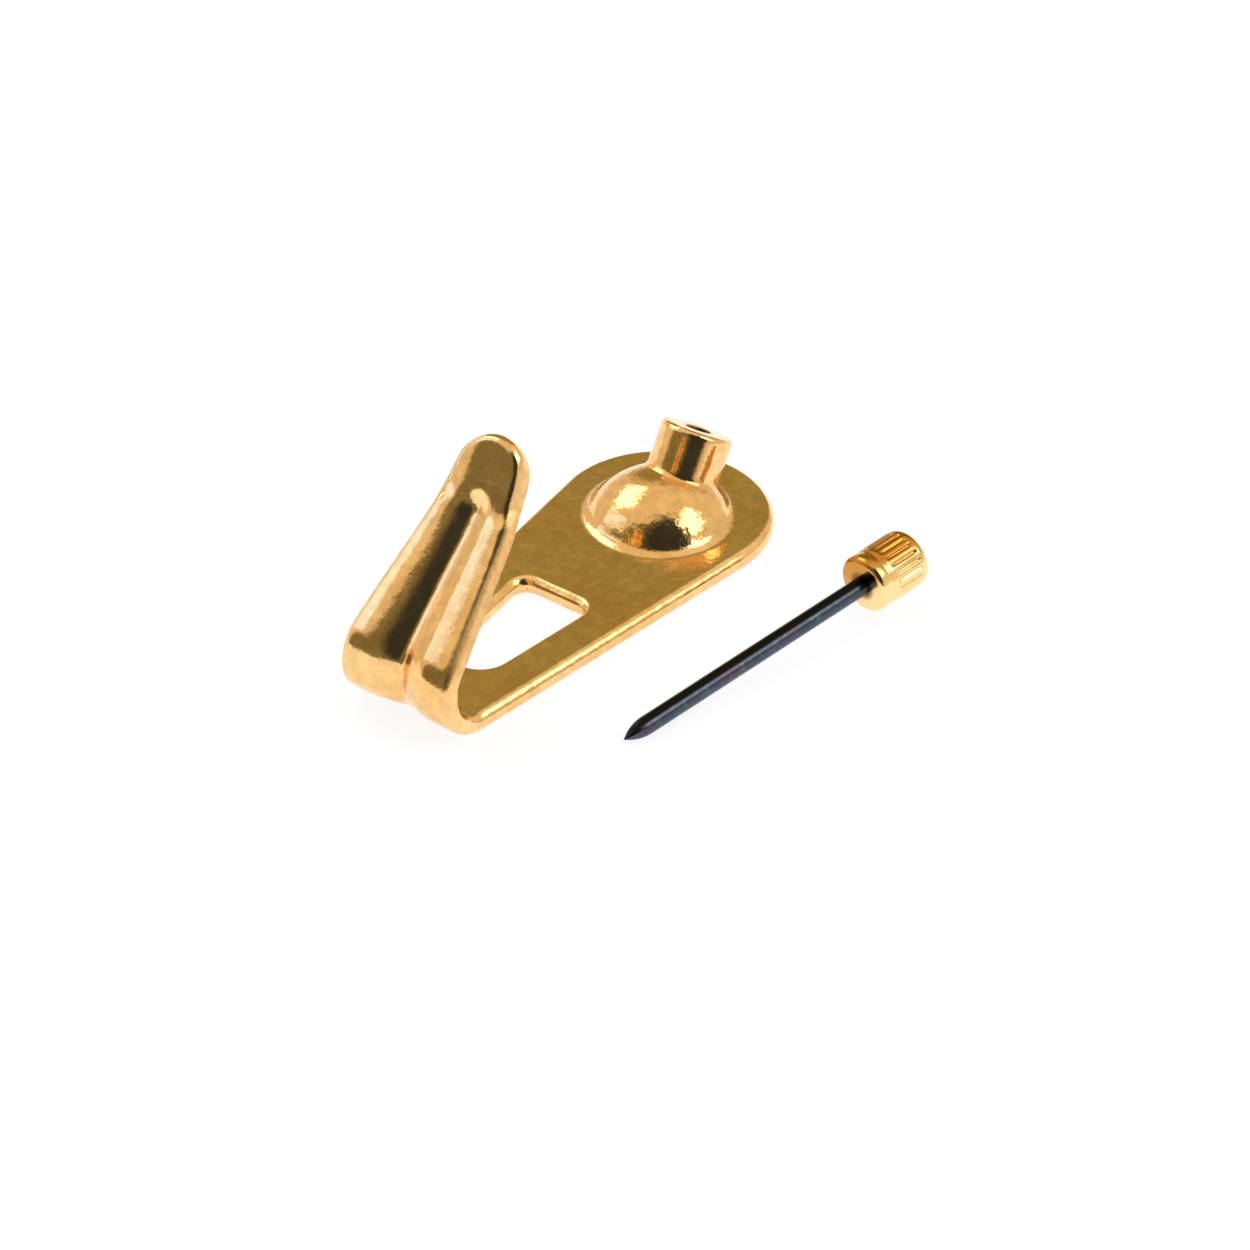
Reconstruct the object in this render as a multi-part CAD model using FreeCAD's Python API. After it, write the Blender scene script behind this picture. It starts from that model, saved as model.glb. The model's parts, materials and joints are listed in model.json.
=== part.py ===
import FreeCAD, Part
import math
import os

V = FreeCAD.Vector

# Picture hook lying on its back: the wall face is z = 0, +Z points out into the room and +Y points
# to the round top end.  Its hardened pin lies on the same surface, to the right.  Millimetres.

# Sheet of the hook, and the breaks along the edges of its faces in view and of its hidden faces
sheet = 1.1
edge_break = 0.36
back_break = 0.12
close = 1e-6

# Plate, measured along Y from the outermost line of the bend
top_centre_y = 27.5
top_end_radius = 7.1
plate_foot_half_width = 4.38
window_top_y = 16.22
window_bottom_y = 6.85
window_corner_round = 0.9
window_side_strip = 3.2

# Bend and arm
bend_inner_radius = 2.3
arm_lean = 44.5
arm_foot_half_width = 4.05
arm_length = 14.05
arm_tip_radius = 2.52

# Flute pressed into the outer face of the arm and round the bend, between two rolled crests
flute_crest_share = 0.72
flute_wall_angle = 40.0
flute_edge_angle = 8.0
flute_valley_round = 0.2
flute_inner_share = 0.6
flute_edge_fold = 0.3
flute_end_from_tip = 3.3
flute_end_run = 1.6
flute_end_bow = 0.9
flute_full_at = 95.0
flute_punch_half = 0.35
bend_steps = 7
run_out_steps = 5

# Dome drawn in the plate, hollow behind, and the slanting guide tube for the pin
dome_centre_y = 27.1
dome_foot_radius = 4.67
dome_height = 2.8
dome_foot_fillet = 1.0
hollow_mouth_radius = 3.9
hollow_roof_radius = 2.0
hollow_depth = 2.35
guide_root_y = 28.6
guide_tilt = 31.5
guide_outer_radius = 2.4
guide_foot = 1.0
guide_height = 5.0
guide_rim_break = 0.2
guide_root_fillet = 0.3
guide_clearance = 0.2
guide_mouth_chamfer = 0.1

# Pin: a hardened shank pressed into a fluted head
shank_radius = 0.6
shank_exposed = 20.55
shank_point = 1.9
head_radius = 1.9
head_length = 4.25
head_collar = 1.0
head_groove = 0.07
head_back_break = 0.4
head_front_break = 0.22
head_end_wall = 0.7
flute_count = 22
flute_cut_width = 0.17
flute_cut_depth = 0.12
flute_margin = 0.35
pin_tip_x = 12.03
pin_tip_y = 7.25
pin_heading = 80.4

# The origin lies on the wall face, in the land between the window and the dome
land_y = 19.2

bend_outer_radius = bend_inner_radius + sheet
bend_turn = 180.0 - arm_lean
guide_bore_radius = shank_radius + guide_clearance
lean = math.radians(arm_lean)
along_arm = V(0, math.cos(lean), math.sin(lean))
out_of_arm = V(0, -math.sin(lean), math.cos(lean))
bend_centre = V(0, bend_outer_radius, bend_outer_radius)
arm_root = bend_centre + out_of_arm * bend_outer_radius


def smooth(t):
    t = min(max(t, 0.0), 1.0)
    return t * t * (3 - 2 * t)


def line(a, b):
    return Part.LineSegment(a, b).toShape()


def arc(a, m, b):
    return Part.Arc(a, m, b).toShape()


def side_line(foot_half, foot_at, radius, centre_at):
    """Slope of the side that runs from the foot to a tangent of the round end, and that tangent point."""
    run = centre_at - foot_at
    reach = math.hypot(run, foot_half)
    angle = math.asin(radius / reach) - math.atan2(foot_half, run)
    return math.tan(angle), V(radius * math.cos(angle), centre_at - radius * math.sin(angle), 0)


plate_flare, plate_tangent = side_line(
    plate_foot_half_width, bend_outer_radius, top_end_radius, top_centre_y)
arm_flare, arm_tangent = side_line(
    arm_foot_half_width, 0.0, arm_tip_radius, arm_length - arm_tip_radius)


def plate_half_width(y):
    return plate_foot_half_width + plate_flare * (y - bend_outer_radius)


def arm_half_width(s):
    return arm_foot_half_width + arm_flare * s


def mirrored(p):
    return V(-p.x, p.y, p.z)


def round_ended_outline(half_width, start, tangent, end):
    """Straight start, two flaring sides and a round far end, in the XY plane."""
    corner = V(half_width, start, 0)
    return Part.Wire([
        line(mirrored(corner), corner),
        line(corner, tangent),
        arc(tangent, V(0, end, 0), mirrored(tangent)),
        line(mirrored(tangent), mirrored(corner)),
    ])


def face_edges(solid, start, height):
    """Edges of the flat face at a height, apart from those of the straight start."""
    picked = []
    for edge in solid.Edges:
        box = edge.BoundBox
        in_face = abs(box.ZMin - height) < close and abs(box.ZMax - height) < close
        at_start = box.YLength < close and abs(box.YMin - start) < close
        if in_face and not at_start:
            picked.append(edge)
    return picked


def break_edges(solid, start, front, back):
    """Break the edges round the face in view well and those round the hidden face a little."""
    broken = solid.makeChamfer(edge_break, face_edges(solid, start, front))
    return broken.makeChamfer(back_break, face_edges(broken, start, back))


def window_cutter():
    """Flat top edge with round corners, sides beside the plate's sides, full round foot."""
    top_half = plate_half_width(window_top_y) - window_side_strip
    bottom_half = plate_half_width(window_bottom_y) - window_side_strip
    slant = math.atan(plate_flare)
    foot_radius = bottom_half / (math.cos(slant) - math.sin(slant))
    foot_centre = V(0, window_bottom_y + foot_radius, 0)
    foot_tangent = foot_centre + V(math.cos(slant), -math.sin(slant), 0) * foot_radius
    top_corner = V(top_half, window_top_y, 0)
    outline = Part.Wire([
        line(mirrored(top_corner), top_corner),
        line(top_corner, foot_tangent),
        arc(foot_tangent, V(0, window_bottom_y, 0), mirrored(foot_tangent)),
        line(mirrored(foot_tangent), mirrored(top_corner)),
    ])
    blank = Part.Face(outline).extrude(V(0, 0, sheet))
    upright = [e for e in blank.Edges if e.BoundBox.ZLength > sheet / 2]
    corners = [e for e in upright if e.BoundBox.YMin > window_top_y - close]
    return blank.makeFillet(window_corner_round, corners)


def make_plate(start):
    top_end = top_centre_y + top_end_radius
    outline = round_ended_outline(plate_half_width(start), start, plate_tangent, top_end)
    plate = Part.Face(outline).extrude(V(0, 0, sheet))
    return break_edges(plate.cut(window_cutter()), start, sheet, 0)


def make_tip(start):
    outline = round_ended_outline(arm_half_width(start), start, arm_tangent, arm_length)
    tip = break_edges(Part.Face(outline).extrude(V(0, 0, -sheet)), start, 0, -sheet)
    turn = FreeCAD.Rotation(V(1, 0, 0), along_arm, out_of_arm, "XYZ")
    tip.Placement = FreeCAD.Placement(arm_root, turn)
    return tip


wall_lean = math.radians(flute_wall_angle)
edge_lean = math.radians(flute_edge_angle)


def pressed_depth(x, crest, flat_half):
    """Depth of the outer face under the crests: rolled crests, a narrow valley, falling edges."""
    if abs(x) > crest:
        radius = (flat_half - crest) / math.sin(edge_lean)
        off_crest = abs(x) - crest
    else:
        radius = crest / math.sin(wall_lean)
        off_crest = crest - math.hypot(x, flute_valley_round * (1 - abs(x) / crest))
    return radius - math.sqrt(radius ** 2 - off_crest ** 2)


def section(origin, inward, half_width, flare, breaks, share):
    """Closed outline across the sheet: fluted outer face, broken edges folded back, ridged inner face.
    share(x) tells how far the flute is pressed at x crests from the middle, from 0 to 1."""
    outer_break, inner_break = breaks
    flat_half = half_width - outer_break * math.hypot(1, flare)
    inner_half = half_width - inner_break * math.hypot(1, flare)
    crest = half_width * flute_crest_share
    band_mid = (crest + flat_half) / 2
    wall = [crest * k for k in (-1.0, -0.5, -0.15, 0.0, 0.15, 0.5, 1.0)]
    ridge = flute_inner_share * pressed_depth(0, crest, flat_half)

    def outer(x):
        return origin + V(x, 0, 0) + inward * (share(x / crest) * pressed_depth(x, crest, flat_half))

    def inner(x, height):
        return origin + V(x, 0, 0) + inward * (sheet + share(x / crest) * height)

    def curve(points, **ends):
        spline = Part.BSplineCurve()
        spline.interpolate(Points=points, **ends)
        return spline.toShape()

    level = V(1, 0, 0)
    left_band = curve([outer(-flat_half), outer(-band_mid), outer(-crest)])
    flute = curve([outer(x) for x in wall], InitialTangent=level, FinalTangent=level)
    right_band = curve([outer(crest), outer(band_mid), outer(flat_half)])
    edge = origin + V(half_width, 0, 0)
    drop = outer(flat_half) - origin - V(flat_half, 0, 0)
    fold = inner(inner_half, flute_edge_fold) - inner(inner_half, 0)
    right = [
        outer(flat_half),
        edge + inward * outer_break + drop,
        edge + inward * (sheet - inner_break) + fold,
        inner(inner_half, 0) + fold,
        inner(crest, 0),
        inner(flute_punch_half, ridge),
    ]
    around = right + [mirrored(p) for p in reversed(right)]
    straight = [line(a, b) for a, b in zip(around, around[1:])]
    return Part.Wire([left_band, flute, right_band] + straight)


def bend_section(turn):
    """Section of the bend after a turn in degrees from the plate."""
    a = math.radians(turn)
    outward = V(0, -math.sin(a), -math.cos(a))
    turned = turn / bend_turn
    half_width = plate_foot_half_width + (arm_foot_half_width - plate_foot_half_width) * turned
    more = (edge_break - back_break) * turned
    depth_share = smooth(turn / flute_full_at)
    start = bend_centre + outward * bend_outer_radius
    breaks = (back_break + more, edge_break - more)
    return section(start, -outward, half_width, plate_flare, breaks, lambda x: depth_share)


def arm_section(s):
    """Section of the arm at a distance from the bend; the flute has a round end."""
    to_end = arm_length - flute_end_from_tip - s

    def share(x):
        rounded = flute_end_bow * (1 - math.sqrt(1 - min(abs(x), 1) ** 2))
        return smooth((to_end - rounded) / flute_end_run)

    start = arm_root + along_arm * s
    return section(start, -out_of_arm, arm_half_width(s), arm_flare, (edge_break, back_break), share)


def make_fold(tip_start):
    """The bend, the straight fluted arm and the flute's run-out, from the plate's end to the tip's."""
    run_start = arm_length - flute_end_from_tip - flute_end_run - flute_end_bow
    run = tip_start - run_start
    bend_wires = [bend_section(bend_turn * i / bend_steps) for i in range(bend_steps + 1)]
    run_wires = [arm_section(run_start + run * i / run_out_steps) for i in range(run_out_steps + 1)]
    bend = Part.makeLoft(bend_wires, True, False)
    arm = Part.makeLoft([bend_wires[-1], run_wires[0]], True, True)
    run_out = Part.makeLoft(run_wires, True, False)
    return [bend, arm, run_out]


dome_sphere = (dome_foot_radius ** 2 + dome_height ** 2) / (2 * dome_height)
dome_sphere_z = sheet + dome_height - dome_sphere


def polygon(points):
    """Closed outline in the XZ plane from (radius, height) pairs."""
    corners = [V(r, 0, z) for r, z in points]
    return Part.Wire([line(a, b) for a, b in zip(corners, corners[1:] + corners[:1])])


def on_axis(wire):
    return Part.Face(wire).revolve(V(0, 0, 0), V(0, 0, 1), 360)


def make_dome():
    """Ball-shaped dome with a hollow fillet round its foot, turned about its own upright axis."""
    rise = sheet + dome_foot_fillet - dome_sphere_z
    foot = math.sqrt((dome_sphere + dome_foot_fillet) ** 2 - rise ** 2)
    steep = math.atan2(rise, foot)
    fillet_centre = V(foot, 0, sheet + dome_foot_fillet)

    def on_ball(angle):
        return V(dome_sphere * math.cos(angle), 0, dome_sphere_z + dome_sphere * math.sin(angle))

    join = on_ball(steep)
    half = (steep + math.pi / 2) / 2
    hollow_mid = fillet_centre - V(math.cos(half), 0, math.sin(half)) * dome_foot_fillet
    bottom = sheet / 2
    profile = Part.Wire([
        arc(V(0, 0, sheet + dome_height), on_ball((steep + math.pi / 2) / 2), join),
        arc(join, hollow_mid, V(foot, 0, sheet)),
        line(V(foot, 0, sheet), V(foot, 0, bottom)),
        line(V(foot, 0, bottom), V(0, 0, bottom)),
        line(V(0, 0, bottom), V(0, 0, sheet + dome_height)),
    ])
    dome = on_axis(profile)
    dome.translate(V(0, dome_centre_y, 0))
    return dome


def make_hollow():
    """Tapered hollow behind the dome, open to the wall."""
    hollow = on_axis(polygon([
        (0, 0), (hollow_mouth_radius, 0), (hollow_roof_radius, hollow_depth), (0, hollow_depth)]))
    hollow.translate(V(0, dome_centre_y, 0))
    return hollow


def guide_placement():
    turn = FreeCAD.Rotation(V(1, 0, 0), -guide_tilt)
    return FreeCAD.Placement(V(0, guide_root_y, sheet), turn)


def make_guide():
    """Thick tube with a broken rim, standing on the dome and leaning to the top end."""
    rim = guide_outer_radius - guide_rim_break
    shoulder = guide_height - guide_rim_break
    outside = guide_outer_radius
    guide = on_axis(polygon([
        (0, guide_foot), (outside, guide_foot), (outside, shoulder), (rim, guide_height), (0, guide_height)]))
    guide.Placement = guide_placement()
    return guide


def make_guide_bore():
    """Straight bore with a small chamfer at its mouth."""
    inside = guide_bore_radius
    mouth = inside + guide_mouth_chamfer
    neck = guide_height - guide_mouth_chamfer
    below = -2 * sheet
    bore = on_axis(polygon([
        (0, below), (inside, below), (inside, neck), (mouth, guide_height), (0, guide_height)]))
    bore.Placement = guide_placement()
    return bore


def round_guide_root(raised):
    """Fillet along the curve where the tube comes out of the dome."""
    roots = [e for e in raised.Edges if not e.Degenerated and isinstance(e.Curve, Part.BSplineCurve)]
    return raised.makeFillet(guide_root_fillet, roots)


def make_hook():
    tip_start = arm_length - flute_end_from_tip + edge_break
    plate = make_plate(bend_outer_radius)
    tip = make_tip(tip_start)
    fold = make_fold(tip_start)
    raised = round_guide_root(make_dome().fuse(make_guide()))
    return plate.fuse(fold + [tip, raised]).cut(make_hollow()).cut(make_guide_bore())


shank_ogive = (shank_point ** 2 + shank_radius ** 2) / (2 * shank_radius)


def pin_placement():
    """The pin lies on the shoulder of its point and on the front rim of its head."""
    rim = shank_exposed + head_front_break
    ahead = rim - shank_point
    down = head_radius - shank_radius + shank_ogive
    rise = math.atan2(down, ahead) - math.asin(shank_ogive / math.hypot(ahead, down))
    height = head_radius * math.cos(rise) - rim * math.sin(rise)
    lie = FreeCAD.Rotation(V(0, 1, 0), 90 - math.degrees(rise))
    turn = FreeCAD.Rotation(V(0, 0, 1), pin_heading).multiply(lie)
    return FreeCAD.Placement(V(pin_tip_x, pin_tip_y, height), turn)


def make_shank():
    """Round wire with an ogive point, modelled along its axis from the point."""
    back = shank_exposed + head_length - head_end_wall
    tangent = V(shank_radius, 0, shank_point)
    half = math.asin(shank_point / shank_ogive) / 2
    bow = shank_ogive * (1 - math.cos(half))
    middle = V(shank_radius - bow, 0, shank_point - shank_ogive * math.sin(half))
    profile = Part.Wire([
        arc(V(0, 0, 0), middle, tangent),
        line(tangent, V(shank_radius, 0, back)),
        line(V(shank_radius, 0, back), V(0, 0, back)),
        line(V(0, 0, back), V(0, 0, 0)),
    ])
    return on_axis(profile)


def make_head():
    """Turned head: broken ends, a smooth collar in front, straight flutes round the drum, blind bore."""
    front = shank_exposed
    back = shank_exposed + head_length
    head = on_axis(polygon([
        (0, front),
        (head_radius - head_front_break, front),
        (head_radius, front + head_front_break),
        (head_radius, back - head_back_break),
        (head_radius - head_back_break, back),
        (0, back),
    ]))
    bore = Part.makeCylinder(shank_radius, head_length - head_end_wall, V(0, 0, front))
    groove = make_head_groove(front + head_collar)
    flutes = [make_head_flute(front, back, 360.0 * i / flute_count) for i in range(flute_count)]
    return head.cut([bore, groove] + flutes)


def make_head_groove(at):
    """Ring of V section that parts the collar from the drum."""
    deep = head_radius - head_groove
    return on_axis(polygon([(deep, at), (head_radius, at - head_groove), (head_radius, at + head_groove)]))


def make_head_flute(front, back, turn):
    """One straight V flute that runs out at both ends."""
    start = front + head_collar + flute_margin
    end = back - head_back_break - flute_margin / 2
    deep = head_radius - flute_cut_depth
    proud = head_radius + flute_cut_depth
    ridge = [V(deep, 0, start + flute_cut_depth), V(deep, 0, end - flute_cut_depth)]
    mouth = [
        V(proud, -flute_cut_width, start - flute_cut_depth),
        V(proud, flute_cut_width, start - flute_cut_depth),
        V(proud, flute_cut_width, end + flute_cut_depth),
        V(proud, -flute_cut_width, end + flute_cut_depth),
    ]
    sides = [
        mouth,
        [mouth[0], mouth[1], ridge[0]],
        [mouth[2], mouth[3], ridge[1]],
        [mouth[1], mouth[2], ridge[1], ridge[0]],
        [mouth[3], mouth[0], ridge[0], ridge[1]],
    ]
    faces = [Part.Face(Part.makePolygon(side + side[:1])) for side in sides]
    flute = Part.Solid(Part.Shell(faces))
    flute.rotate(V(0, 0, 0), V(0, 0, 1), turn)
    return flute


os.makedirs("parts", exist_ok=True)
hook = make_hook()
shank = make_shank()
head = make_head()
for piece in (shank, head):
    piece.Placement = pin_placement()
for name, piece in (("hook", hook), ("pin_shank", shank), ("pin_head", head)):
    piece.translate(V(0, -land_y, 0))
    piece.exportStep("parts/" + name + ".step")
    print(name, len(piece.Solids), piece.isValid(), round(piece.Volume, 2))
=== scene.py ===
import json
import math
import bpy
from mathutils import Matrix, Vector


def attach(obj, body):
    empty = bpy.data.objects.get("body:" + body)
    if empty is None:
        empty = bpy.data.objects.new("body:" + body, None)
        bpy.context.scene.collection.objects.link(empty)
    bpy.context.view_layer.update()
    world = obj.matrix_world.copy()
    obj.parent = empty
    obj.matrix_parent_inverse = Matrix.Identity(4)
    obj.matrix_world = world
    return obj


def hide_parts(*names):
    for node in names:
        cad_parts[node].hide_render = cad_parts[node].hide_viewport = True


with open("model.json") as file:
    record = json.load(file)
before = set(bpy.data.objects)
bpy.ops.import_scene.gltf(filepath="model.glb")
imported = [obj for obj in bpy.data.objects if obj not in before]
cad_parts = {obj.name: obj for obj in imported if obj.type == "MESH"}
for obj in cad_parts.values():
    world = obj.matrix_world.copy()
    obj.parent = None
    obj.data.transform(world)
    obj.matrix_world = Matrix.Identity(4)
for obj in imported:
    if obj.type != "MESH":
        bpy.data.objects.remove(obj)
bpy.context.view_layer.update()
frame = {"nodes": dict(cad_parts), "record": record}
mm = 0.001  # the object is sized in millimetres
print("frame loaded:", sorted(frame["nodes"]))


class Socket:  # one output of a node, with arithmetic
    def __init__(self, tree, link):
        self.tree = tree
        self.link = link

    def node(self, kind, settings=None, inputs=None, output=0):  # any node, its settings first
        made = self.tree.nodes.new(kind)
        for key, value in (settings or {}).items():
            setattr(made, key, value)
        for key, value in (inputs or {}).items():
            if isinstance(value, Socket):
                self.tree.links.new(value.link, made.inputs[key])
            else:
                made.inputs[key].default_value = value
        return Socket(self.tree, made.outputs[output])

    def maths(self, operation, a, b):
        return self.node("ShaderNodeMath", {"operation": operation}, {0: a, 1: b})

    def __add__(self, other):
        return self.maths("ADD", self, other)

    def __radd__(self, other):
        return self.maths("ADD", other, self)

    def __sub__(self, other):
        return self.maths("SUBTRACT", self, other)

    def __rsub__(self, other):
        return self.maths("SUBTRACT", other, self)

    def __mul__(self, other):
        return self.maths("MULTIPLY", self, other)

    def __rmul__(self, other):
        return self.maths("MULTIPLY", other, self)

    def mixed(self, first, second):  # self is the share of the second colour
        return self.node("ShaderNodeMix", {"data_type": "RGBA"}, {0: self, 6: first, 7: second}, 2)

    def scaled(self, share):  # self is a colour
        return self.node("ShaderNodeVectorMath", {"operation": "SCALE"}, {0: self, "Scale": share})

    def vector(self, operation, other=(0, 0, 0), output=0):  # self is a place or a direction
        return self.node("ShaderNodeVectorMath", {"operation": operation},
                         {0: self, 1: tuple(other)}, output)

    def between(self, low, high, toLow=0.0, toHigh=1.0):  # soft step
        return self.node("ShaderNodeMapRange", {"interpolation_type": "SMOOTHSTEP"},
                         {0: self, 1: low, 2: high, 3: toLow, 4: toHigh})

    def noise(self, size, character):  # self is a place
        detail, rough = character
        return self.node("ShaderNodeTexNoise", None,
                         {"Vector": self, "Scale": 1 / size, "Detail": detail, "Roughness": rough})

    def part(self, axis):  # self is a place
        return self.node("ShaderNodeSeparateXYZ", None, {0: self}, axis)

    def atLeast(self, least):
        return self.maths("MAXIMUM", self, least)

    def bumped(self, distance, under=None):  # self is a height, in shares of the distance
        inputs = {"Height": self, "Distance": distance, "Strength": 1.0}
        if under:
            inputs["Normal"] = under
        return self.node("ShaderNodeBump", None, inputs)


noiseSpan = (0.35, 0.72)  # a noise keeps mostly within this
swell = (1.0, 0.5)  # detail and roughness of the noises
cloud = (3.0, 0.5)
coarseGrit = (2.0, 0.6)
grit = (3.0, 0.6)
fineGrit = (4.0, 0.6)
metre = 1.0  # distance of a bump whose height is a length


def newMaterial(name):  # with its surface shader and its Object coordinates
    material = bpy.data.materials.new(name)
    material.use_nodes = True
    tree = material.node_tree
    shader = tree.nodes["Principled BSDF"]
    coords = tree.nodes.new("ShaderNodeTexCoord")
    return material, shader, Socket(tree, coords.outputs["Object"])


def feed(shader, **values):
    for key, value in values.items():
        socket = shader.inputs[key.replace("_", " ")]
        if isinstance(value, Socket):
            value.tree.links.new(value.link, socket)
        else:
            socket.default_value = value


def rgb(*values):
    return (*values, 1.0)


def pickOnly(piece):
    bpy.ops.object.select_all(action="DESELECT")
    piece.select_set(True)
    bpy.context.view_layer.objects.active = piece


def applied(piece, kind, **settings):  # add one modifier, set it and apply it
    pickOnly(piece)
    bpy.ops.object.modifier_add(type=kind)
    modifier = piece.modifiers[-1]
    for key, value in settings.items():
        setattr(modifier, key, value)
    bpy.ops.object.modifier_apply(modifier=modifier.name)


def dress(piece, material, slot, *nodes):
    piece.data.materials.clear()
    piece.data.materials.append(material)
    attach(piece, "root")
    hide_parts(*nodes)
    print(piece.name, "dressed:", len(piece.data.polygons), "faces")


# Hook body: plate, bend, fluted arm, dome and guide tube in one piece, softened and its arm bent a little
hookBody = {
    "cell": 0.125 * mm,
    "softening": 6,
    "softenShare": 0.5,  # of the way to the neighbours' middle, each time
    "merge": 0.002 * mm,
    "armBelow": 2.0 * mm,  # the arm lies below this, and the dome above
    "armBends": (  # leans in to a neck, and its tip turns out
        {"name": "neck", "out": -0.50 * mm, "slope": 44.5, "grows": (4.0 * mm, 13.5 * mm)},
        {"name": "lip", "out": 1.08 * mm, "slope": 51.0, "grows": (10.8 * mm, 17.7 * mm)},
    ),
}


def smoothRise(value, low, high):  # from 0 to 1 with no kink at either end
    share = min(max((value - low) / (high - low), 0.0), 1.0)
    return share ** 3 * (6 * share ** 2 - 15 * share + 10)


def bendArm(piece, spec):
    onArm = [v for v in piece.data.vertices if v.co.y < spec["armBelow"]]
    for bend in spec["armBends"]:
        group = piece.vertex_groups.new(name=bend["name"])
        for vertex in onArm:
            group.add([vertex.index], smoothRise(vertex.co.z, *bend["grows"]), "REPLACE")
    for bend in spec["armBends"]:
        slope = math.radians(bend["slope"])  # from the wall
        for axis, share in (("Y", -math.sin(slope)), ("Z", math.cos(slope))):
            applied(piece, "DISPLACE", direction=axis, vertex_group=bend["name"], mid_level=0.0,
                    strength=bend["out"] * share)
    piece.vertex_groups.clear()


def recastHook(spec):
    piece = frame["nodes"]["hook"].copy()
    piece.data = piece.data.copy()
    piece.name = "hook_body"
    piece.parent = None
    bpy.context.scene.collection.objects.link(piece)
    pickOnly(piece)
    bpy.ops.object.mode_set(mode="EDIT")
    bpy.ops.mesh.select_all(action="SELECT")
    bpy.ops.mesh.remove_doubles(threshold=spec["merge"])
    bpy.ops.object.mode_set(mode="OBJECT")
    bpy.ops.mesh.customdata_custom_splitnormals_clear()
    applied(piece, "REMESH", mode="VOXEL", voxel_size=spec["cell"], use_smooth_shade=True)
    applied(piece, "SMOOTH", factor=spec["softenShare"], iterations=spec["softening"])
    bendArm(piece, spec)
    bpy.ops.object.shade_smooth()
    return piece


polishedBrass = {
    "gold": rgb(0.96, 0.63, 0.28),
    "amber": rgb(0.93, 0.56, 0.21),
    "toneSize": 5.0 * mm,
    "mottle": (0.84, 1.05),  # darker and lighter blotches of the plating
    "mottleSize": 0.8 * mm,
    "speck": rgb(0.55, 0.22, 0.07),
    "speckSize": 0.28 * mm,
    "speckFrom": (0.70, 0.76),
    "waveSize": 2.2 * mm,
    "waveDepth": 0.030 * mm,
    "peelSize": 0.42 * mm,
    "peelDepth": (0.009 * mm, 0.026 * mm),  # on the sheet and on the dome
    "grainSize": 0.12 * mm,
    "grainDepth": 0.0034 * mm,
    "roughness": (0.07, 0.17),
    "crownFrom": 0.9 * mm,  # the arm's tip falls away to its sides from here
    "crownCurve": 0.15 / mm,
    "crownRise": (11.5 * mm, 12.8 * mm),
    "rimFoot": 4.81 * mm,  # the arm's half width at the wall, and its taper with height
    "rimTaper": 0.1625,
    "rimReach": (-0.50 * mm, -0.15 * mm),
    "rimRise": (4.0 * mm, 6.0 * mm),
    "rimRough": 0.36,  # the arm's rim is duller
    "domeAt": Vector((0, 7.9 * mm, 0)),
    "domeReach": (4.3 * mm, 5.4 * mm),
    "guideReach": (2.45 * mm, 2.8 * mm),
    "boreReach": (0.84 * mm, 0.90 * mm),
    # painted shade: the inside of the nail guide's bore is darkened
    "bore": rgb(0.035, 0.022, 0.010),
}


def fromAxis(place, point, axis):  # distance of a place from a line
    across = place.vector("SUBTRACT", point).vector("CROSS_PRODUCT", axis.normalized())
    return across.vector("LENGTH", output="Value")


def makePolishedBrass(spec):
    material, shader, place = newMaterial("polished_brass")
    guide = next(m for m in frame["record"]["mounts"] if m["name"] == "nail_guide")
    offBore = fromAxis(place, guide["pos_m"], Vector(guide["axis"]))
    # painted shade inside the nail guide's bore
    inBoreShade = 1.0 - offBore.between(*spec["boreReach"])
    fromDome = fromAxis(place, spec["domeAt"], Vector((0, 0, 1)))
    onDome = 1.0 - fromDome.between(*spec["domeReach"])
    onBall = onDome * offBore.between(*spec["guideReach"])
    tone = place.noise(spec["toneSize"], cloud).between(*noiseSpan)
    mottle = place.noise(spec["mottleSize"], fineGrit).between(*noiseSpan, *spec["mottle"])
    speck = place.noise(spec["speckSize"], coarseGrit).between(*spec["speckFrom"])
    colour = tone.mixed(spec["gold"], spec["amber"]).scaled(mottle)
    colour = inBoreShade.mixed(speck.mixed(colour, spec["speck"]), spec["bore"])
    wave = place.noise(spec["waveSize"], swell)
    peel = place.noise(spec["peelSize"], swell) * onBall.between(0, 1, *spec["peelDepth"])
    grain = place.noise(spec["grainSize"], coarseGrit)
    height = place.part("Z")
    aside = place.maths("ABSOLUTE", place.part("X"), 0.0)
    beside = (aside - spec["crownFrom"]).atLeast(0.0)
    crown = beside * beside * spec["crownCurve"] * height.between(*spec["crownRise"])
    rim = (aside - spec["rimFoot"] + height * spec["rimTaper"]).between(*spec["rimReach"])
    rim = rim * height.between(*spec["rimRise"])
    normal = (0.0 - crown).bumped(metre, wave.bumped(spec["waveDepth"]))
    normal = grain.bumped(spec["grainDepth"], peel.bumped(metre, normal))
    feed(shader, Metallic=1.0, Base_Color=colour, Normal=normal,
         Roughness=grain.between(*noiseSpan, *spec["roughness"]) + rim * spec["rimRough"])
    return material


hook = recastHook(hookBody)
dress(hook, makePolishedBrass(polishedBrass), "polished_brass", "hook")


# Pin: its axis and sizes are read from the frame
endSlice = 0.05 * mm
facing = Vector((0.7, -0.1, 0.7))  # up and to the right, across the pin


def pointsOf(node):
    return [v.co.copy() for v in frame["nodes"][node].data.vertices]


def middle(points):
    return sum(points, Vector()) / len(points)


def pinAxis():
    shank, head = pointsOf("pin_shank"), pointsOf("pin_head")
    rough = (middle(head) - middle(shank)).normalized()
    tip = min(shank, key=rough.dot)
    last = max(rough.dot(p) for p in shank)
    end = middle([p for p in shank if rough.dot(p) > last - endSlice])
    return tip, (end - tip).normalized()


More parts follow.
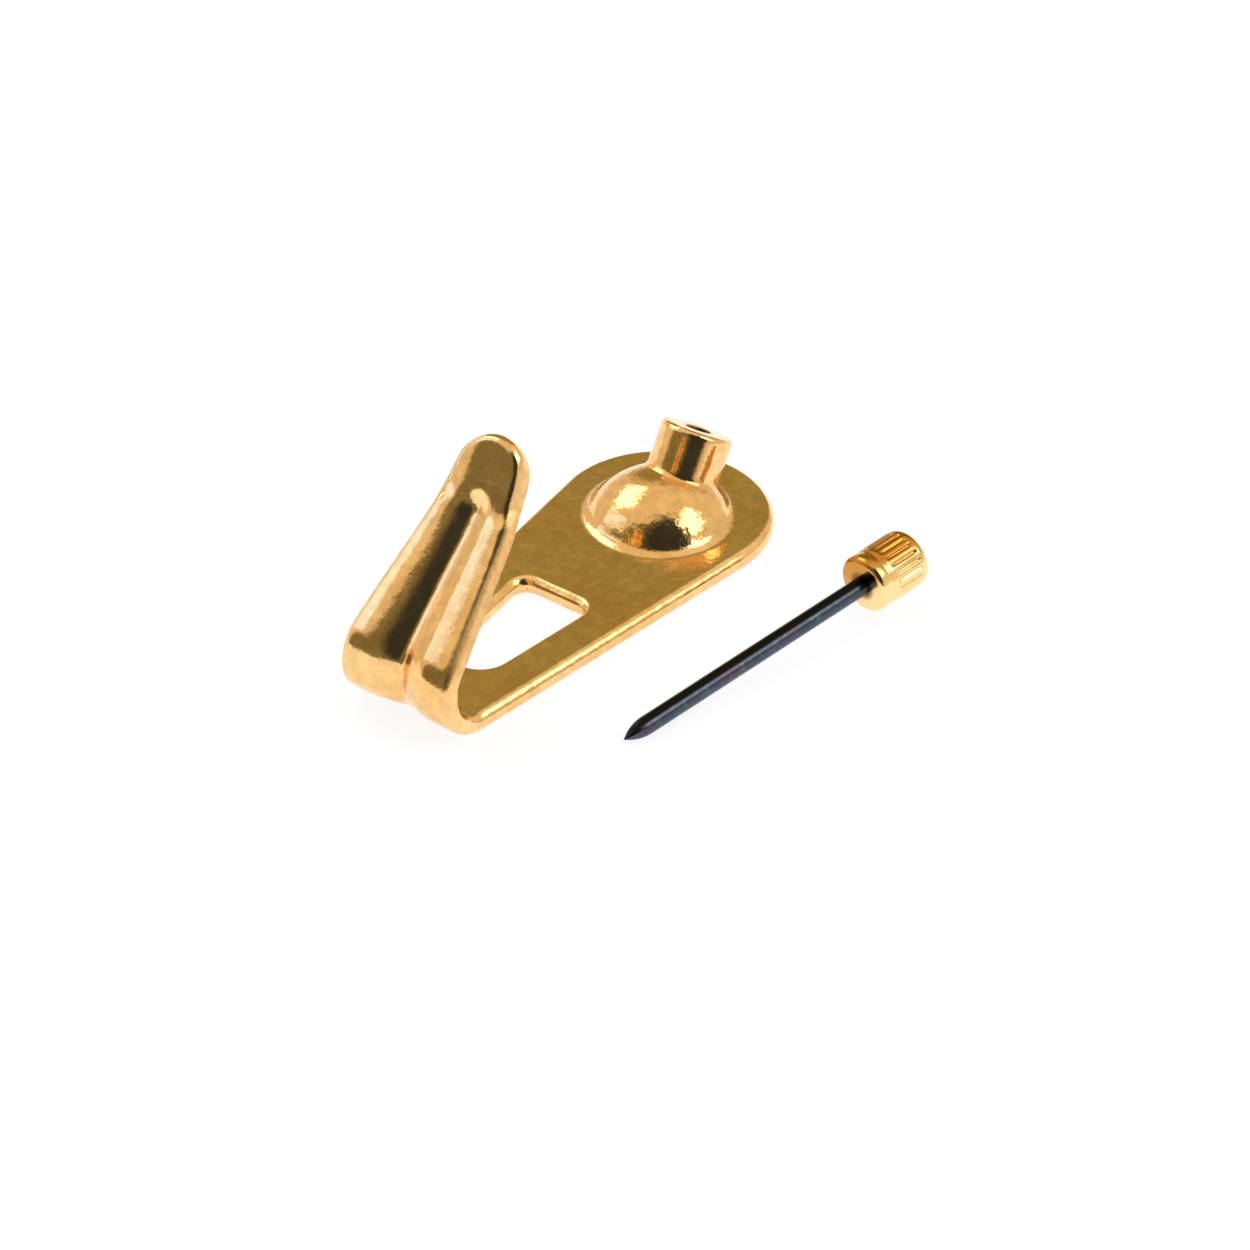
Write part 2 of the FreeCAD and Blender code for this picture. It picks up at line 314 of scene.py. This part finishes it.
def spanOf(node, tip, axis):  # from, to and largest radius along the axis
    away = [p - tip for p in pointsOf(node)]
    along = [a.dot(axis) for a in away]
    radius = max((a - axis * a.dot(axis)).length for a in away)
    return min(along), max(along), radius


pinTip, pinDirection = pinAxis()
shankEnd, shankRadius = spanOf("pin_shank", pinTip, pinDirection)[1:]
headStart, headEnd, headRadius = spanOf("pin_head", pinTip, pinDirection)
pinPlace = Matrix.Translation(pinTip) @ pinDirection.to_track_quat("Z", "Y").to_matrix().to_4x4()
lowSide = pinDirection.cross(facing).normalized()  # the side the pin lies on


def fromTip(place, direction):  # distance from the pin's tip along a direction
    return place.vector("SUBTRACT", pinTip).vector("DOT_PRODUCT", direction, "Value")


def turned(name, segments, profile):  # ring extruded through (height, radius) pairs, closed at both ends
    bpy.ops.object.select_all(action="DESELECT")
    height, radius = profile[0]
    bpy.ops.mesh.primitive_circle_add(
        vertices=segments, radius=radius, fill_type="NGON", location=(0, 0, height))
    piece = bpy.context.object
    piece.name = name
    bpy.ops.object.transform_apply(location=True)
    bpy.ops.object.mode_set(mode="EDIT")
    bpy.ops.mesh.select_all(action="SELECT")
    for nextHeight, nextRadius in profile[1:]:
        bpy.ops.mesh.extrude_region_move(TRANSFORM_OT_translate={"value": (0, 0, nextHeight - height)})
        share = nextRadius / radius
        bpy.ops.transform.resize(value=(share, share, 1), center_override=(0, 0, nextHeight))
        height, radius = nextHeight, nextRadius
    bpy.ops.mesh.select_all(action="SELECT")
    bpy.ops.mesh.normals_make_consistent(inside=False)
    bpy.ops.object.mode_set(mode="OBJECT")
    return piece


def laidAlongPin(piece):
    piece.matrix_world = pinPlace
    pickOnly(piece)
    bpy.ops.object.transform_apply(location=True, rotation=True, scale=True)


def roundCorner(height, radius, size, start, steps):  # quarter round about its centre, start in degrees
    turns = [math.radians(start + 90 * i / steps) for i in range(steps + 1)]
    return [(height + size * math.sin(t), radius + size * math.cos(t)) for t in turns]


# Shank: hardened wire with an ogive point
shankSpec = {
    "segments": 64,
    "point": 1.9 * mm,
    "pointSteps": 10,
    "tipRadius": 0.02 * mm,
    "crease": 40,  # degrees, sharper edges stay sharp
}


def makeShank(spec):
    point = spec["point"]
    bow = (point ** 2 + shankRadius ** 2) / (2 * shankRadius)
    profile = []
    for i in range(spec["pointSteps"] + 1):
        height = point * i / spec["pointSteps"]
        radius = math.sqrt(bow ** 2 - (point - height) ** 2) - (bow - shankRadius)
        profile.append((height, max(radius, spec["tipRadius"])))
    profile.append((shankEnd, shankRadius))
    piece = turned("shank", spec["segments"], profile)
    laidAlongPin(piece)
    bpy.ops.object.shade_smooth_by_angle(angle=math.radians(spec["crease"]))
    return piece


bluedSteel = {
    "black": rgb(0.011, 0.011, 0.010),
    "paintedStreakEdge": (-0.22 * mm, 0.03 * mm),  # painted reflection: the lower side is lighter blue and plum, the upper side stays black
    "blue": rgb(0.062, 0.080, 0.112),
    "plum": rgb(0.096, 0.068, 0.112),
    "teal": rgb(0.095, 0.150, 0.180),
    "patch": 3.0 * mm,
    "plumFrom": (0.40, 0.65),
    "fleck": 0.45 * mm,
    "fleckFrom": (0.50, 0.72),
    "grainSize": 0.08 * mm,
    "grainDepth": 0.0008 * mm,
    "roughness": (0.12, 0.30),
}


def makeBluedSteel(spec):
    material, shader, place = newMaterial("blued_steel")
    tone = place.noise(spec["patch"], cloud).between(*spec["plumFrom"])
    fleck = place.noise(spec["fleck"], grit).between(*spec["fleckFrom"])
    grain = place.noise(spec["grainSize"], grit)
    colour = fleck.mixed(tone.mixed(spec["blue"], spec["plum"]), spec["teal"])
    # painted reflection streak: blue, plum and teal on the lower side, black on the upper side
    colour = fromTip(place, lowSide).between(*spec["paintedStreakEdge"]).mixed(spec["black"], colour)
    feed(shader, Metallic=1.0, Base_Color=colour, Normal=grain.bumped(spec["grainDepth"]),
         Roughness=grain.between(*noiseSpan, *spec["roughness"]))
    return material


dress(makeShank(shankSpec), makeBluedSteel(bluedSteel), "blued_steel", "pin_shank")


# Head: turned, with a smooth collar in front and straight flutes round the drum
headSpec = {
    "flutes": 22,
    "columns": 12,  # to each flute and its land
    "depths": (0.12 * mm, 0.11 * mm, 0.075 * mm, 0.02 * mm),  # of a flute's columns, middle first
    "frontRound": 0.38 * mm,
    "backRound": 0.5 * mm,
    "roundSteps": 10,
    "collar": 0.95 * mm,
    "neck": 0.05 * mm,
    "neckHalf": 0.32 * mm,
    "neckSteps": 8,
    "margin": 0.12 * mm,
    "endRings": 8,
    "ringGap": 0.055 * mm,
    "boreGap": 0.03 * mm,
    "endDot": 0.3 * mm,
}


def pickPoints(piece, wanted):  # select points by their place and stay in edit mode
    pickOnly(piece)
    bpy.ops.object.mode_set(mode="EDIT")
    bpy.ops.mesh.select_mode(type="VERT")
    bpy.ops.mesh.select_all(action="DESELECT")
    bpy.ops.object.mode_set(mode="OBJECT")
    for vertex in piece.data.vertices:
        vertex.select = wanted(vertex.co)
    bpy.ops.object.mode_set(mode="EDIT")


def pressFlutes(piece, spec, start, stop):  # round-bottomed, with round ends
    columns, rings = spec["columns"], spec["endRings"]
    pitch = 2 * math.pi / (spec["flutes"] * columns)

    def fromMiddle(point):
        column = round(math.atan2(point.y, point.x) / pitch) % columns
        return min(column, columns - column)

    def fromEnd(point):
        return round(min(point.z - start, stop - point.z) / spec["ringGap"])

    for step, depth in enumerate(spec["depths"]):
        for ring in range(1, rings):
            pickPoints(piece, lambda p: fromMiddle(p) == step and fromEnd(p) == ring)
            sunk = depth * math.sin(math.pi / 2 * ring / (rings - 1))
            share = 1 - sunk / headRadius
            bpy.ops.transform.resize(value=(share, share, 1), center_override=(0, 0, 0))
            bpy.ops.object.mode_set(mode="OBJECT")


def makeHead(spec):
    front, back = spec["frontRound"], spec["backRound"]
    neckAt = headStart + spec["collar"]
    half, steps = spec["neckHalf"], spec["neckSteps"]
    fluteStart = neckAt + half + spec["margin"]
    fluteStop = headEnd - back - spec["margin"]
    profile = [(headStart, shankRadius + spec["boreGap"])]
    profile += roundCorner(headStart + front, headRadius - front, front, -90, spec["roundSteps"])
    for i in range(steps + 1):
        dip = spec["neck"] * (1 - math.cos(2 * math.pi * i / steps)) / 2
        profile.append((neckAt + half * (2 * i / steps - 1), headRadius - dip))
    ends = [spec["ringGap"] * i for i in range(spec["endRings"])]
    profile += [(fluteStart + e, headRadius) for e in ends]
    profile += [(fluteStop - e, headRadius) for e in reversed(ends)]
    profile += roundCorner(headEnd - back, headRadius - back, back, 0, spec["roundSteps"])
    profile += [(headEnd, spec["endDot"])]
    piece = turned("head", spec["flutes"] * spec["columns"], profile)
    pressFlutes(piece, spec, fluteStart, fluteStop)
    laidAlongPin(piece)
    bpy.ops.object.shade_smooth()
    return piece


turnedBrass = {
    # straw on the lower side and amber on the upper side are painted light and shade
    "straw": rgb(0.97, 0.70, 0.34),
    "amber": rgb(0.58, 0.26, 0.04),
    "shankShade": rgb(0.20, 0.075, 0.02),  # painted shade and reflection of the shank on the head round it
    "shankShadeReach": (0.62 * mm, 1.15 * mm),
    "shankShadeDepth": (0.2 * mm, 0.5 * mm),  # from the front of the head
    "patch": 1.2 * mm,
    "patchShare": 0.8,
    "strawFrom": (0.55, 1.25),
    "grainSize": 0.06 * mm,
    "grainDepth": 0.0008 * mm,
    "roughness": (0.10, 0.24),
}


def makeTurnedBrass(spec):
    material, shader, place = newMaterial("turned_brass")
    patch = place.noise(spec["patch"], cloud) * spec["patchShare"]
    # painted light and shade: pale straw on the head's lower side, dark amber on its upper side, with
    # random patches
    sideLightAndPatch = fromTip(place, lowSide).between(-headRadius, headRadius) + patch
    # painted shade and reflection of the shank on the head's front, round the shank
    shallow, deep = (headStart + depth for depth in spec["shankShadeDepth"])
    behind = fromTip(place, pinDirection).between(shallow, deep)
    away = fromAxis(place, pinTip, pinDirection).between(*spec["shankShadeReach"]).atLeast(behind)
    colour = away.mixed(spec["shankShade"], sideLightAndPatch.between(*spec["strawFrom"]).mixed(spec["amber"], spec["straw"]))
    grain = place.noise(spec["grainSize"], grit)
    feed(shader, Metallic=1.0, Base_Color=colour, Normal=grain.bumped(spec["grainDepth"]),
         Roughness=grain.between(*noiseSpan, *spec["roughness"]))
    return material


dress(makeHead(headSpec), makeTurnedBrass(turnedBrass), "turned_brass", "pin_head")


# Camera: looks down on the hook from the front right
cameraSpec = {
    "azimuth": 36.354,  # degrees round from the front to the right
    "elevation": 36.138,
    "roll": 0.721,
    "target": (4.696 * mm, -2.015 * mm, 0),
    "distance": 296.22 * mm,
    "lens": 136.94,
    "sensor": 36.0,
    "nearest": 10.0 * mm,
}


def towards(azimuth, elevation):  # unit vector, degrees round from the front to the right and up
    a, e = math.radians(azimuth), math.radians(elevation)
    return Vector((math.sin(a) * math.cos(e), -math.cos(a) * math.cos(e), math.sin(e)))


def addCamera(spec):
    back = towards(spec["azimuth"], spec["elevation"])
    right = towards(spec["azimuth"] + 90, 0)
    level = Matrix((right, back.cross(right), back)).transposed()
    turn = level @ Matrix.Rotation(math.radians(spec["roll"]), 3, "Z")
    bpy.ops.object.camera_add(location=Vector(spec["target"]) + back * spec["distance"])
    camera = bpy.context.object
    camera.rotation_euler = turn.to_euler()
    camera.data.sensor_width = spec["sensor"]
    camera.data.lens = spec["lens"]
    camera.data.clip_start = spec["nearest"]
    bpy.context.scene.camera = camera


addCamera(cameraSpec)
print("camera set")


# Studio: white floor, three soft boxes and a room that is dim on the far side and dark round the camera
studio = {
    "floorSize": 3.0,  # metres, as are the boxes
    "floorGlow": 0.86,  # as seen by the camera, and as mirrored
    "mirroredGlow": 0.97,
    "floorColour": rgb(0.21, 0.22, 0.25),
    "boxes": (
        {"from": (-94, 46), "size": (0.17, 0.15), "turn": 0, "light": (2.3, 2.3, 2.3)},
        {"from": (-61, 31), "size": (0.2, 0.08), "turn": 39, "light": (0.3, 0.6, 1.3)},
        {"from": (114, 45), "size": (0.15, 0.15), "turn": 0, "light": (2.4, 2.4, 2.4)},
    ),
    "boxDistance": 0.3,
    "room": rgb(0.86, 0.75, 0.58),
    "ceiling": rgb(0.94, 0.82, 0.64),
    "lobes": (  # softer and darker parts of the room: direction, spread, colour
        ((0, 90), (62, 25), "ceiling"),
        ((-152, 24), (34, 18), "farSide"),
        ((13, 24), (40, 33), "dim"),
        ((-30, 14), (22, 13), "dim"),
        ((43, 24), (34, 18), "dark"),
        ((52, 42), (40, 20), "dark"),
    ),
    "farSide": rgb(0.375, 0.325, 0.135),
    "dim": rgb(0.24, 0.215, 0.115),
    "dark": rgb(0.042, 0.047, 0.048),
}


def addFloor(spec):
    bpy.ops.object.select_all(action="DESELECT")
    bpy.ops.mesh.primitive_plane_add(size=spec["floorSize"])
    floor = bpy.context.object
    floor.name = "floor"
    material, shader, place = newMaterial("white_floor")
    tree = place.tree
    paths = tree.nodes.new("ShaderNodeLightPath")
    camera, glossy, clear = (Socket(tree, paths.outputs[name]) for name in (
        "Is Camera Ray", "Is Glossy Ray", "Is Transmission Ray"))
    glow = camera * spec["floorGlow"] + (glossy + clear) * spec["mirroredGlow"]
    feed(shader, Base_Color=spec["floorColour"], Roughness=1.0, Specular_IOR_Level=0.0)
    feed(shader, Emission_Color=glow.mixed(rgb(0, 0, 0), rgb(1, 1, 1)), Emission_Strength=1.0)
    floor.data.materials.append(material)


def addBox(spec, distance):
    direction = towards(*spec["from"])
    width, height = spec["size"]
    bpy.ops.object.light_add(type="AREA", location=direction * distance)
    lamp = bpy.context.object
    aim = direction.to_track_quat("Z", "Y").to_matrix()
    lamp.rotation_euler = (aim @ Matrix.Rotation(math.radians(spec["turn"]), 3, "Z")).to_euler()
    lamp.data.shape = "RECTANGLE"
    lamp.data.size = width
    lamp.data.size_y = height
    lamp.data.color = spec["light"]
    lamp.data.energy = math.pi * width * height  # as bright as its colour is written


def addRoom(spec):
    world = bpy.data.worlds.new("room")
    bpy.context.scene.world = world
    world.use_nodes = True
    tree = world.node_tree
    coords = tree.nodes.new("ShaderNodeTexCoord")
    view = Socket(tree, coords.outputs["Generated"])

    def lobe(direction, spread):
        wide, full = (math.cos(math.radians(a)) for a in spread)
        return view.vector("DOT_PRODUCT", towards(*direction), "Value").between(wide, full)

    colour = spec["room"]
    for direction, spread, name in spec["lobes"]:
        colour = lobe(direction, spread).mixed(colour, spec[name])
    tree.links.new(colour.link, tree.nodes["Background"].inputs["Color"])


addFloor(studio)
for box in studio["boxes"]:
    addBox(box, studio["boxDistance"])
addRoom(studio)
print("studio set")

bpy.context.scene.view_settings.view_transform = "Standard"
